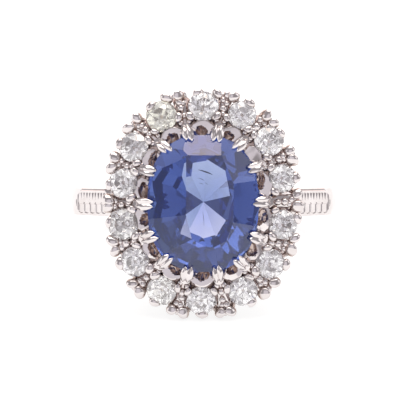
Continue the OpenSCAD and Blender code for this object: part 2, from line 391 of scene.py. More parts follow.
STONES = (
    Stone(89.8, 2.20, 2.00, 8.0, (12.3, 2.9, -6.9), (1.7, 0.85)),
    Stone(66.2, 2.05, 2.10, 31.0, (7.1, -1.0, -11.4), (3.4, 0.85), grey=0.1),
    Stone(43.4, 2.15, 2.15, 12.0, (5.1, -1.4, -11.6), (0.0, 0.0), grey=0.2),
    Stone(17.6, 2.05, 2.00, 25.0, (7.8, -2.1, -11.2), (4.0, 1.20), grey=0.2),
    Stone(-14.8, 2.12, 2.05, 3.0, (12.5, 5.8, -5.9), (2.3, 1.20), grey=0.1),
    Stone(-41.9, 2.15, 2.00, 17.0, (13.5, 5.5, -5.9), (-1.5, 1.05), grey=0.1),
    Stone(-65.6, 2.10, 2.10, 40.0, (9.6, 1.6, -9.6), (-0.7, 1.0), grey=0.2),
    Stone(-91.2, 2.08, 2.00, 22.0, (9.5, 0.5, -8.8), (1.0, 0.90)),
    Stone(-115.5, 2.14, 2.15, 5.0, (8.5, -0.5, -9.8), (2.0, 1.05), yellow=0.2, grey=0.1),
    Stone(-139.6, 2.15, 2.05, 28.0, (7.8, -4.4, -11.4), (3.6, 1.20), grey=0.5),
    Stone(-165.5, 2.24, 2.35, 44.0, (7.5, -3.0, -11.8), (1.0, 0.85), yellow=0.1, grey=0.6),
    Stone(-194.2, 2.15, 2.00, 15.0, (11.2, 2.9, -6.8), (2.0, 1.25), grey=0.2),
    Stone(-218.9, 2.14, 2.10, 36.0, (10.9, 2.9, -5.9), (-1.6, 1.20), grey=0.3),
    Stone(-244.5, 2.22, 2.25, 20.0, (11.7, 2.6, -6.1), (0.3, 1.05), yellow=0.8, grey=0.5),
)


@dataclass(frozen=True)
class HeadPlan:
    """Where everything in the head stands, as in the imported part."""

    finger_r: float = 8.65
    cluster_w: float = 14.62
    cluster_l: float = 16.98
    squareness: float = 2.25
    lean: float = 14.0
    diamond_rise: float = 3.45
    sapphire_rise: float = 4.3
    sapphire_w: float = 8.05
    sapphire_l: float = 9.9
    row_reach: float = 1.4206
    basket: Span = (3.1, 4.25)
    rail: Span = (4.22, 5.15)
    lie: Matrix = field(default_factory=Matrix)

    @staticmethod
    def from_frame(frame: dict) -> HeadPlan:
        """Reads how the ring lies from the finger hole's mount.


        Returns:
            The plan, with the matrix that lays the upright ring down.
        """
        hole = next(m for m in frame["record"]["mounts"] if m["name"] == "finger_hole")
        along = Vector(hole["axis"]).normalized()
        across = Vector((1.0, 0.0, 0.0))
        turn = Matrix((across, along, across.cross(along))).transposed().to_4x4()
        lie = Matrix.Translation(Vector(hole["pos_m"])) @ turn @ Matrix.Scale(MM, 4)
        return HeadPlan(lie=lie)

    @property
    def diamond_z(self) -> float:
        """Height of the diamonds' girdles."""
        return self.finger_r + self.diamond_rise

    @property
    def sapphire_z(self) -> float:
        """Height of the sapphire's girdle."""
        return self.finger_r + self.sapphire_rise

    @property
    def row(self) -> Span:
        """Half width and half length of the oval through the diamonds' centres."""
        return self.cluster_w / 2 - self.row_reach, self.cluster_l / 2 - self.row_reach

    def oval(self, a: float, b: float, angle: float, z: float = 0.0, power: float = 0.0) -> Vector:
        """Finds a point on one of the head's ovals.

        Args:
            a: half width of the oval.
            b: half length of the oval.
            angle: degrees from the head's right side.
            z: height of the point.
            power: squareness of the oval, or 0 for the head's own.

        Returns:
            The point.
        """
        p, way = power or self.squareness, math.radians(angle)
        r = ((abs(math.cos(way)) / a) ** p + (abs(math.sin(way)) / b) ** p) ** (-1 / p)
        return polar(r, way, z)

    def outward(self, a: float, b: float, angle: float) -> float:
        """Finds the direction square to an oval.

        Args:
            a: half width of the oval.
            b: half length of the oval.
            angle: degrees from the head's right side.

        Returns:
            The direction in degrees.
        """
        point, power = self.oval(a, b, angle), self.squareness - 1
        x = math.copysign(abs(point.x / a) ** power / a, point.x)
        return math.degrees(math.atan2(math.copysign(abs(point.y / b) ** power / b, point.y), x))

    def axes(self, index: int) -> Plane:
        """Returns the directions outwards and aside in one gap of the row."""
        outward = polar(1.0, math.radians(self.outward(*self.row, self.gap(index))))
        return outward, Vector((-outward.y, outward.x, 0.0))

    def inward(self, index: int, reach: float = 3.0, halvings: int = 24) -> Plane:
        """Finds where the line square to the row, from one gap, meets the sapphire's edge.

        Args:
            index: the gap's number from 0.
            reach: the furthest that the edge can be.
            halvings: how often the reach is halved.

        Returns:
            The meeting point at no height, and the direction inwards.
        """
        start, inwards = self.oval(*self.row, self.gap(index)), -self.axes(index)[0]
        near, far = 0.0, reach
        for _ in range(halvings):
            half = (near + far) / 2
            spot = start + inwards * half
            edge = self.oval(self.sapphire_w / 2, self.sapphire_l / 2, bearing(spot))
            near, far = (half, far) if spot.length > edge.length else (near, half)
        return start + inwards * near, inwards

    def place(self, index: int) -> Matrix:
        """Finds how one diamond stands.

        Args:
            index: the diamond's number from 0.

        Returns:
            Its place, with +X outwards and +Z out of its table.
        """
        angle = STONES[index].angle
        turn = Matrix.Rotation(math.radians(self.outward(*self.row, angle)), 4, "Z")
        lean = Matrix.Rotation(math.radians(self.lean), 4, "Y")
        return Matrix.Translation(self.oval(*self.row, angle, self.diamond_z)) @ turn @ lean

    def gap(self, index: int) -> float:
        """Returns the angle of the gap after one diamond, going clockwise."""
        laps = (divmod(k, len(STONES)) for k in (index, index + 1))
        return sum(STONES[k].angle - 360.0 * lap for lap, k in laps) / 2


@dataclass(frozen=True)
class Hand:
    """How far hand work moves the metal, how finely, and how it shifts from piece to piece."""

    amount: float
    spots: float
    shift: float


class Draft:
    """Points and faces of one piece, in millimetres on the upright ring."""

    NOISE_STEP = (1.0, 0.37, -0.61)

    def __init__(self) -> None:
        """Starts empty."""
        self.points: list[Vector] = []
        self.faces: list[tuple[int, ...]] = []
        self.painted_shades: list[float] = []

    def loft(
        self, rings: Sequence[Sequence[Vector]], painted_shades: Sequence[Sequence[float]] = (),
        closed: bool = False,
    ) -> None:
        """Adds a skin through rings of equal length.

        Args:
            rings: the rings in order.
            painted_shades: each ring's brown painted shade, 0 to 1, as one number or one for each
                point.
            closed: whether the last ring joins the first; otherwise both ends are capped.
        """
        start, count, size = len(self.points), len(rings), len(rings[0])
        for k, ring in enumerate(rings):
            marks = list(painted_shades[k]) if painted_shades else [0.0]
            self.points.extend(ring)
            self.painted_shades.extend(marks * (size // len(marks)))
        grid = [[start + k * size + j for j in range(size)] for k in range(count)]
        for k in range(count if closed else count - 1):
            here, after = grid[k], grid[(k + 1) % count]
            for j in range(size):
                n = (j + 1) % size
                self.faces.append((here[j], here[n], after[n], after[j]))
        if not closed:
            self.faces += [tuple(reversed(grid[0])), tuple(grid[-1])]

    def sweep(self, path: list[Vector], sections: Iterable[Section], side: Vector) -> None:
        """Adds a rod whose section changes along a path.

        Args:
            path: the rod's centre line.
            sections: for each point of the path, the section's points aside and above.
            side: roughly the direction of aside.
        """
        rings = []
        for k, (point, section) in enumerate(zip(path, sections)):
            along = (path[min(k + 1, len(path) - 1)] - path[max(k - 1, 0)]).normalized()
            above = along.cross(side).normalized()
            aside = above.cross(along)
            rings.append([point + aside * x + above * y for x, y in section])
        self.loft(rings)

    def paint_shade_by(self, rule: Callable[[Vector], float]) -> None:
        """Sets every point's painted shade by a rule on its place."""
        self.painted_shades = [rule(p) for p in self.points]

    def worry(self, hand: Hand, index: int) -> None:
        """Moves the points a little by noise, as hand work does.

        Args:
            hand: the size of the moves, in millimetres, and spots to the millimetre.
            index: the piece's number.
        """
        shift = Vector([index * hand.shift * step for step in self.NOISE_STEP])
        moves = [noise.noise_vector(p * hand.spots + shift) * hand.amount for p in self.points]
        self.points = [p + move for p, move in zip(self.points, moves)]


class Workshop:
    """Turns drafts into finished pieces of the ring."""

    CREASE = math.radians(38.0)
    # Painted shade starts this far below the diamonds' girdles and is full this far lower.
    SHADE_TOP = 0.15
    SHADE_REACH = 1.3

    def __init__(self, plan: HeadPlan) -> None:
        """Keeps the plan, and makes the finish that the metal shares."""
        self.plan = plan
        self.gold = WhiteGold().material()

    def finish(
        self, draft: Draft, name: str, material: bpy.types.Material, slot: Slot, node: str,
        shading: Shading = Shading.SMOOTH, subdivide: int = 0,
    ) -> None:
        """Makes one piece from its draft and sets it on the ring.

        Args:
            draft: the piece's points and faces.
            name: the piece's name.
            material: its finish.
            slot: the record's slot for it.
            node: the CAD node that it stands for.
            shading: how its edges turn light.
            subdivide: levels of smooth subdivision.
        """
        mesh = bpy.data.meshes.new(name)
        mesh.from_pydata([self.plan.lie @ p for p in draft.points], [], draft.faces)
        # The gold's painted shade goes into a point attribute that its finish reads.
        if slot is Slot.GOLD:
            depth = mesh.attributes.new("painted_shade_amount", "FLOAT", "POINT")
            depth.data.foreach_set("value", [min(1.0, max(0.0, v)) for v in draft.painted_shades])
        work = bmesh.new()
        work.from_mesh(mesh)
        bmesh.ops.recalc_face_normals(work, faces=work.faces)
        work.to_mesh(mesh)
        work.free()
        mesh.materials.append(material)
        if shading is not Shading.FLAT:
            mesh.polygons.foreach_set("use_smooth", [True] * len(mesh.polygons))
        if shading is Shading.CREASED:
            mesh.set_sharp_from_angle(angle=self.CREASE)
        mesh.update()
        piece = bpy.data.objects.new(name, mesh)
        bpy.context.scene.collection.objects.link(piece)
        if subdivide:
            rounding = piece.modifiers.new("rounding", "SUBSURF")
            rounding.levels = rounding.render_levels = subdivide
        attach(piece, BODY)
        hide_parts(node)
        log.info("%s: %d faces", name, len(mesh.polygons))

    def gold_piece(
        self, draft: Draft, name: str, shading: Shading = Shading.SMOOTH, subdivide: int = 0
    ) -> None:
        """Makes one piece of the soldered setting, as finish does."""
        self.finish(draft, name, self.gold, Slot.GOLD, "setting", shading, subdivide)

    def depth(self, point: Vector) -> float:
        """Returns how far a head point lies below the diamonds' girdles, which sets its painted
        shade.
        """
        return (self.plan.diamond_z - self.SHADE_TOP - point.z) / self.SHADE_REACH


@dataclass
class Row:
    """Metal that repeats with the diamonds, one piece for each."""

    shop: Workshop
    name: str = ""
    shading: Shading = Shading.CREASED
    subdivide: int = 0
    first_seed: int = 0
    hand: Hand = Hand(0.0, 1.0, 0.0)

    def shape(self, draft: Draft, index: int, stone: Stone, chance: random.Random) -> None:
        """Adds one piece's points and faces.

        Args:
            draft: where they are added.
            index: the number of the diamond, and of the gap after it, from 0.
            stone: the diamond.
            chance: gives the small differences of hand work.
        """
        raise NotImplementedError

    def build(self) -> None:
        """Makes every piece."""
        for index, stone in enumerate(STONES):
            draft = Draft()
            self.shape(draft, index, stone, random.Random(self.first_seed + index))
            draft.worry(self.hand, index)
            name = f"{self.name}_{index + 1:02d}"
            self.shop.gold_piece(draft, name, self.shading, self.subdivide)


@dataclass(frozen=True)
class Cut:
    """Outline and heights of a faceted stone, and how far its facets slip."""

    half_w: float
    half_l: float
    power: float
    crown: float
    girdle: float
    pavilion: float
    slip: float
    seed: int


class FacetedStone:
    """A cut stone whose every facet is one true plane."""

    GIRDLE_SIDES = 64
    JOIN = 0.002

    def __init__(self, cut: Cut, plan: HeadPlan) -> None:
        """Keeps the cut, and the head's plan for its ovals."""
        self.cut, self.plan = cut, plan

    def planes(self) -> Iterable[Plane]:
        """Returns every facet's plane, as an outward normal and a point."""
        raise NotImplementedError

    def _rim(self, angle: float, share: float, z: float) -> Vector:
        """Finds a point over the girdle's outline.

        Args:
            angle: degrees from the stone's right side.
            share: share of the outline's radius.
            z: height from the girdle's middle.

        Returns:
            The point.
        """
        cut = self.cut
        point = self.plan.oval(cut.half_w, cut.half_l, angle, 0.0, cut.power) * share
        return Vector((point.x, point.y, z))

    def draft(self, place: Matrix) -> Draft:
        """Cuts the stone.

        Args:
            place: where it stands on the upright ring.

        Returns:
            The cut stone.
        """
        cut, chance, blank = self.cut, random.Random(self.cut.seed), Draft()
        reach, step = cut.crown + cut.girdle + cut.pavilion, 360.0 / self.GIRDLE_SIDES
        blank.loft([
            [self._rim(k * step, 1.0, z) for k in range(self.GIRDLE_SIDES)]
            for z in (-reach, reach)
        ])
        facets = [[blank.points[k] for k in face] for face in blank.faces]
        for normal, point in self.planes():
            slip = Vector([chance.uniform(-cut.slip, cut.slip) for _ in range(3)])
            facets = self._slice(facets, (normal + slip).normalized(), point)
        work = bmesh.new()
        for facet in facets:
            work.faces.new([work.verts.new(p) for p in facet])
        bmesh.ops.remove_doubles(work, verts=work.verts, dist=self.JOIN)
        bmesh.ops.recalc_face_normals(work, faces=work.faces)
        work.verts.index_update()
        made = Draft()
        made.points = [place @ v.co for v in work.verts]
        made.faces = [tuple(v.index for v in f.verts) for f in work.faces]
        work.free()
        return made

    @staticmethod
    def _slice(facets: list[list[Vector]], normal: Vector, point: Vector) -> list[list[Vector]]:
        """Cuts away what lies beyond a plane and closes the cut.

        Args:
            facets: the corners of each facet so far.
            normal: the plane's outward normal.
            point: a point on the plane.

        Returns:
            The facets that are left, and the new one.
        """
        kept, rim = [], []
        for facet in facets:
            heights = [(corner - point).dot(normal) for corner in facet]
            left = []
            for k, (corner, height) in enumerate(zip(facet, heights)):
                after = (k + 1) % len(facet)
                if height <= 0:
                    left.append(corner)
                if (height <= 0) != (heights[after] <= 0):
                    rim.append(corner.lerp(facet[after], height / (height - heights[after])))
                    left.append(rim[-1])
            if len(left) > 2:
                kept.append(left)
        if len(rim) > 2:
            middle = sum(rim, Vector()) / len(rim)
            aside = (rim[0] - middle).normalized()
            above = normal.cross(aside)
            rim.sort(key=lambda p: math.atan2((p - middle).dot(above), (p - middle).dot(aside)))
            kept.append(rim)
        return kept


@dataclass(frozen=True)
class OldCut(Cut):
    """Proportions of an old-cut round stone, against its girdle."""

    turn: float
    table: float = 0.5
    star: float = 0.5
    waist: float = 0.4
    culet: float = 0.13
    fold: int = 8


class RoundStone(FacetedStone):
    """An old-cut stone: mains, stars and halves round a table and a small culet."""

    def _main(self, angle: float, z: float, tip: Vector) -> Plane:
        """Makes a main facet's plane.

        Args:
            angle: the facet's direction.
            z: height of the girdle's edge beside it.
            tip: a point of it at the table or the culet.

        Returns:
            The plane's outward normal, and a point of it at the girdle.
        """
        along = self._rim(angle + 0.5, 1.0, 0.0) - self._rim(angle - 0.5, 1.0, 0.0)
        out = Vector((along.y, -along.x, 0.0)).normalized()
        low = self._rim(angle, 1.0, z)
        run, rise = (low - tip).dot(out), tip.z - low.z
        normal = Vector((out.x * abs(rise), out.y * abs(rise), math.copysign(run, rise)))
        return normal.normalized(), low

    @staticmethod
    def _through(a: Vector, b: Vector, c: Vector) -> Plane:
        """Returns the plane through three points, facing away from the stone's middle."""
        normal = (b - a).cross(c - a).normalized()
        return (normal if normal.dot(a) > 0 else -normal), a

    @staticmethod
    def _meet(one: Plane, two: Plane, z: float) -> Vector:
        """Finds where two planes meet at a height.

        Args:
            one: a plane.
            two: another.
            z: the height.

        Returns:
            The point.
        """
        (n, p), (m, q) = one, two
        u, v = n.dot(p) - n.z * z, m.dot(q) - m.z * z
        det = n.x * m.y - n.y * m.x
        return Vector(((u * m.y - v * n.y) / det, (n.x * v - m.x * u) / det, z))

    def planes(self) -> Iterable[Plane]:
        """Lists every facet's plane.

        Returns:
            The planes, each as an outward normal and a point.
        """
        cut, pitch, top = self.cut, 360.0 / self.cut.fold, self.cut.girdle / 2
        turns = [cut.turn + k * pitch for k in range(cut.fold)]
        high, low = top + cut.crown, -top - cut.pavilion
        yield UP, UP * high
        yield -UP, UP * low
        for z, tip, edge, part in (
            (top, cut.table, high, cut.star), (-top, cut.culet, low, cut.waist)
        ):
            tips = [self._rim(t, tip, edge) for t in turns]
            mains = [self._main(t, z, tips[k]) for k, t in enumerate(turns)]
            yield from mains
            for k, t in enumerate(turns):
                after = (k + 1) % cut.fold
                meet = self._meet(mains[k], mains[after], z + (edge - z) * part)
                here, middle, there = (self._rim(t + pitch * n / 2, 1.0, z) for n in range(3))
                yield self._through(here, middle, meet)
                yield self._through(middle, there, meet)
                if z > 0:
                    yield self._through(tips[k], tips[after], meet)


@dataclass(frozen=True)
class NativeCut:
    """Facets of a cushion stone cut by eye, each by direction and slope in degrees.

    The table's edges give a direction and a reach; the ring's last column is its reach too.
    """

    table: tuple[Span, ...] = (
        (90.0, 3.50), (60.0, 3.69), (23.0, 2.57), (0.0, 2.20), (-21.3, 2.50), (-63.0, 3.17),
        (-90.0, 3.12), (-118.0, 2.62), (-167.0, 1.40), (180.0, 1.27), (150.0, 2.75),
        (118.0, 3.80),
    )
    culet: Span = (0.02, 0.10)
    mains: tuple[Span, ...] = (
        (-14.0, 35.4), (11.0, 32.8), (60.0, 30.0), (100.0, 28.0), (150.0, 32.0), (180.0, 37.0),
        (210.0, 32.0), (250.0, 28.0), (285.0, 28.0), (324.0, 33.0),
    )
    ring: tuple[tuple[float, float, float], ...] = (
        (11.0, 36.5, 2.1), (60.0, 36.5, 2.85), (100.0, 37.0, 2.9), (150.0, 37.0, 1.9),
        (210.0, 37.5, 2.1), (250.0, 36.5, 2.5), (285.0, 37.0, 2.5), (324.0, 36.5, 2.2),
    )
    surround: tuple[Span, ...] = (
        (40.0, 42.8), (75.0, 43.5), (105.0, 42.0), (135.0, 39.5), (240.0, 42.0), (270.0, 39.9),
        (300.0, 43.9),
    )
    crown_break: float = 54.0
    girdle_break: float = 60.0
    breaks: int = 16


class CushionStone(FacetedStone):
    """A stone whose facets are listed one by one."""

    native = NativeCut()

    def _touch(self, azimuth: float) -> Plane:
        """Returns a direction, and the girdle's furthest point that way at no height."""
        way = polar(1.0, math.radians(azimuth))
        return way, max((self._rim(float(k), 1.0, 0.0) for k in range(360)), key=way.dot)

    def _leaning(self, azimuth: float, slope: float, up: float, z: float) -> Plane:
        """Makes a facet that touches the girdle.

        Args:
            azimuth: the direction that it faces, in degrees.
            slope: its angle to the girdle, in degrees.
            up: 1 on the crown and -1 on the pavilion.
            z: height at which it touches.

        Returns:
            Its outward normal, and the touching point.
        """
        way, point = self._touch(azimuth)
        lean = math.radians(slope)
        normal = way * math.sin(lean) + Vector((0, 0, up * math.cos(lean)))
        return normal, Vector((point.x, point.y, z))

    def planes(self) -> Iterable[Plane]:
        """Lists every facet's plane.

        Returns:
            The planes, each as an outward normal and a point.
        """
        cut, native, top = self.cut, self.native, self.cut.girdle / 2
        yield UP, UP * (top + cut.crown)
        for azimuth, reach in native.table:
            way, point = self._touch(azimuth)
            slope = math.degrees(math.atan2(cut.crown, way.dot(point) - reach))
            yield self._leaning(azimuth, slope, 1.0, top)
        tip = Vector((*native.culet, -top - cut.pavilion))
        for azimuth, slope in native.mains:
            yield self._leaning(azimuth, slope, -1.0, 0.0)[0], tip
        for azimuth, slope, reach in native.ring:
            main = min(native.mains, key=lambda m: abs(m[0] - azimuth))[1]
            rise = UP * (reach * math.tan(math.radians(main)))
            start = tip + self._touch(azimuth)[0] * reach + rise
            yield self._leaning(azimuth, slope, -1.0, 0.0)[0], start
        for azimuth, slope in native.surround:
            yield self._leaning(azimuth, slope, -1.0, -top)
        for k in range(native.breaks):
            azimuth = (k + 0.5) * 360.0 / native.breaks
            yield self._leaning(azimuth, native.crown_break, 1.0, top)
            yield self._leaning(azimuth, native.girdle_break, -1.0, -top)


@dataclass
class CentreStone:
    """The cushion-oval sapphire."""

    shop: Workshop
    sink: float = 0.11
    cut: Cut = Cut(4.025, 4.95, 2.4, crown=1.25, girdle=0.2, pavilion=3.35, slip=0.006, seed=5)
    glass: GemGlass = GemGlass(
        "sapphire_blue", tint=(0.95, 0.96, 1.0), cloudy=(0.86, 0.87, 0.98), ior=1.77,
        depth_colour=(0.09, 0.265, 0.62), depth_density=330.0,
        # Painted light: a faint blue glow lifts the stone's blue.
        painted_glow=(0.22, 0.36, 1.0), painted_glow_strength=0.033,
    )

    def build(self) -> None:
        """Cuts the sapphire and sets it in the middle of the head."""
        plan, name = self.shop.plan, Slot.SAPPHIRE.value
        place = Matrix.Translation(UP * (plan.sapphire_z - self.sink))
        draft, glass = CushionStone(self.cut, plan).draft(place), self.glass.material()
        self.shop.finish(draft, "sapphire_cut", glass, Slot.SAPPHIRE, name, Shading.FLAT)


@dataclass(frozen=True)
class Needle:
    """One needle in the sapphire: its ends from the stone's middle, and its half width."""

    start: Span
    end: Span
    half: float


@dataclass
class Inclusions:
    """The natural needles that show in the sapphire's table."""

    shop: Workshop
    rise: float = 0.55
    needles: tuple[Needle, ...] = (
        Needle((-0.36, 2.46), (0.68, 2.10), 0.050),
        Needle((-0.38, 1.86), (0.10, 1.66), 0.018),
        Needle((-0.30, 1.48), (0.02, 1.40), 0.014),
        Needle((0.12, 1.52), (0.36, 1.34), 0.013),
        Needle((-0.05, -0.50), (0.06, -1.60), 0.014),
    )
    bend: float = 0.03
    flat: float = 0.4
    swell: Span = (0.08, 0.84)
    steps: int = 7
    sides: int = 8

    def build(self) -> None:
        """Makes the needles in one piece."""
        draft = Draft()
        height = self.shop.plan.sapphire_z + self.rise
        for needle in self.needles:
            low, high = Vector((*needle.start, height)), Vector((*needle.end, height))
            path, sections, (start, rest) = [], [], self.swell
            for k in range(self.steps):
                share = k / (self.steps - 1)
                swell = math.sin(math.pi * (start + rest * share))
                path.append(low.lerp(high, share) + Vector((self.bend, self.bend, 0)) * swell)
                w, h = needle.half * swell, needle.half * self.flat * swell
                sections.append([(w * math.cos(t), h * math.sin(t)) for t in around(self.sides)])
            draft.sweep(path, sections, Vector((high.y - low.y, low.x - high.x, 0)).normalized())
        silk, node = Silk().material(), Slot.SAPPHIRE.value
        self.shop.finish(draft, "sapphire_needles", silk, Slot.SAPPHIRE, node)


@dataclass
class DiamondRow:
    """The fourteen old-cut diamonds, with heights against their radius."""

    shop: Workshop
    crown: float = 0.36
    girdle: float = 0.07
    pavilion: float = 0.86
    slip: float = 0.03
    first_seed: int = 11
    ior: float = 2.42
    grey_loss: float = 0.12
    yellow_loss: float = 0.16
    clear_loss: Colour = (0.0, 0.01, 0.0)
    cloud_loss: Colour = (0.06, 0.05, 0.02)
    cloud_scale: float = 1500.0
    clear: float = 0.95
    # Painted light: a faint glow lifts the diamonds' whiteness.
    painted_glow: Colour = (1.0, 0.93, 0.94)
    painted_glow_strength: float = 0.020

    def build(self) -> None:
        """Cuts each diamond and sets it in its place."""
        plan = self.shop.plan
        for index, stone in enumerate(STONES):
            r, seed, name = stone.dia / 2, index + self.first_seed, f"diamond_{index + 1:02d}"
            heights = (self.crown * r, self.girdle * r, self.pavilion * r)
            cut = OldCut(r, r, stone.power, *heights, self.slip, seed, stone.turn)
            draft = RoundStone(cut, plan).draft(plan.place(index))
            glass = self._glass(f"{name}_water", stone).material()
            self.shop.finish(draft, f"{name}_cut", glass, Slot.DIAMOND, name, Shading.FLAT)

    def _glass(self, name: str, stone: Stone) -> GemGlass:
        """Mixes one diamond's own water.

        Args:
            name: the finish's name.
            stone: the diamond.

        Returns:
            Its glass.
        """
        pale, yellow = 1.0 - self.grey_loss * stone.grey, self.yellow_loss * stone.yellow
        tint, cloudy = (
            (pale - loss[0], pale - loss[1], pale - loss[2] - yellow)
            for loss in (self.clear_loss, self.cloud_loss)
        )
        return GemGlass(
            name, tint, cloudy, self.ior, cloud_scale=self.cloud_scale, clear=self.clear,
            painted_glow=self.painted_glow, painted_glow_strength=self.painted_glow_strength,
        )


@dataclass(frozen=True)
class ClawRow:
    """One kind of claw round a diamond: turn from its outer side, reach and bead size."""

    turn: float
    reach: float
    bulk: float


@dataclass
class RimClaws(Row):
    """The beaded claws that hold the diamonds."""

    name: str = "claws"
    shading: Shading = Shading.SMOOTH
    first_seed: int = 100
    hand: Hand = Hand(0.03, 2.2, 1.7)
    inner_rows: tuple[ClawRow, ...] = (ClawRow(128.0, 0.10, 0.80), ClawRow(-128.0, 0.10, 0.80))
    rim_off: float = 1.0
    bead_r: float = 0.47
    flat: float = 0.76
    rise: float = 0.62
    foot: float = 0.8
    stem_r: float = 0.24
    stem_h: float = 1.2
    stem_taper: float = 0.8
    # Painted shade down the stem and over the bead, darkest on the bead's underside.
    stem_shades: Span = (0.9, 0.5)
    dome_turns: Span = (-60.0, 150.0)
    dome_shades: Span = (1.95, -2.7)
    flat_low: float = 0.9
    skew_out: float = 0.1
    free: float = 0.02
    girdle: float = 0.04
    least_r: float = 0.05
    lift: float = 0.06
    sides: int = 22
    steps: int = 12
    sizes: Span = (0.86, 1.10)
    squashes: Span = (0.88, 1.12)
    turns: Span = (-2.0, 2.0)
    skews: Span = (-0.25, 0.25)
    flats: Span = (0.74, 0.95)

    def shape(self, draft: Draft, index: int, stone: Stone, chance: random.Random) -> None:
        """Adds a diamond's three claws on the rim and two inside.

        Args:
            draft: the mesh that takes them.
            index: the place in the row, from 0.
            stone: the diamond there.
            chance: the row's random draws.
        """
        plan = self.shop.plan
        place, r = plan.place(index), stone.dia / 2
        back, (a, b) = place.inverted(), (half + self.rim_off for half in plan.row)
        for offset in stone.beads:
            spot = back @ plan.oval(a, b, stone.angle + offset, plan.diamond_z)
            row = ClawRow(bearing(spot), math.hypot(spot.x, spot.y) - r, 1.0)
            self._claw(draft, place, r, row, chance)
        for row in self.inner_rows:
            self._claw(draft, place, r, row, chance)

    def _claw(
        self, draft: Draft, place: Matrix, r: float, row: ClawRow, chance: random.Random
    ) -> None:
        """Adds one claw: a leaning stem that ends in a pressed bead.

        Args:
            draft: where it is added.
            place: the diamond's place.
            r: the diamond's radius.
            row: the kind of claw.
            chance: gives the small differences of hand work.
        """
        size = self.bead_r * row.bulk * chance.uniform(*self.sizes)
        squash = self.flat * chance.uniform(*self.squashes)
        turn = Matrix.Rotation(math.radians(row.turn + chance.uniform(*self.turns)), 4, "Z")
        place = place @ turn
        foot = self.foot * r
        lean = (r + row.reach - foot) / self.stem_h
        skew = chance.uniform(*self.skews)
        flats = [(chance.uniform(0, FULL_TURN), chance.uniform(*self.flats)) for _ in range(2)]
        # The profile's third number is painted shade: brown under the bead, none over its top.
        (low, high), spans = self.stem_shades, (self.dome_turns, self.dome_shades)
        profile = [(self.stem_r * self.stem_taper, -self.stem_h, low), (self.stem_r, -size, high)]
        for k in range(self.steps + 1):
            degrees, brown = (first + rest * k / self.steps for first, rest in spans)
            t = math.radians(degrees)
            profile.append((size * math.cos(t), self.lift + size * self.rise * math.sin(t), brown))
        rings = []
        for radius, z, _ in profile:
            radius, middle = max(radius, self.least_r), foot + lean * (z + self.stem_h)
            rings.append([])
            for t in around(self.sides):
                x, y = radius * squash * math.cos(t), radius * math.sin(t)
                for way, keep in flats if z > -size * self.flat_low else ():
                    over = x * math.cos(way) / squash + y * math.sin(way) - keep * size
                    if over > 0:
                        x -= over * math.cos(way) * squash
                        y -= over * math.sin(way)
                spot = Vector((middle + x + skew * self.skew_out * z, y + skew * z, z))
                rings[-1].append(place @ self._clear(spot, r))
        draft.loft(rings, [[brown] for _, _, brown in profile])

    def _clear(self, point: Vector, r: float) -> Vector:
        """Moves a point of a claw out of the stone that it grips.

        Args:
            point: the point, with the stone's girdle at z = 0.
            r: the stone's radius.

        Returns:
            The point, outside the stone.
        """
        slope = 0.5 / DiamondRow.crown if point.z > 0 else 1.0 / DiamondRow.pavilion
        keep = r + self.free - max(0.0, abs(point.z) - self.girdle) * slope
        reach = math.hypot(point.x, point.y)
        if reach >= keep or not reach:
            return point
        return Vector((point.x * keep / reach, point.y * keep / reach, point.z))


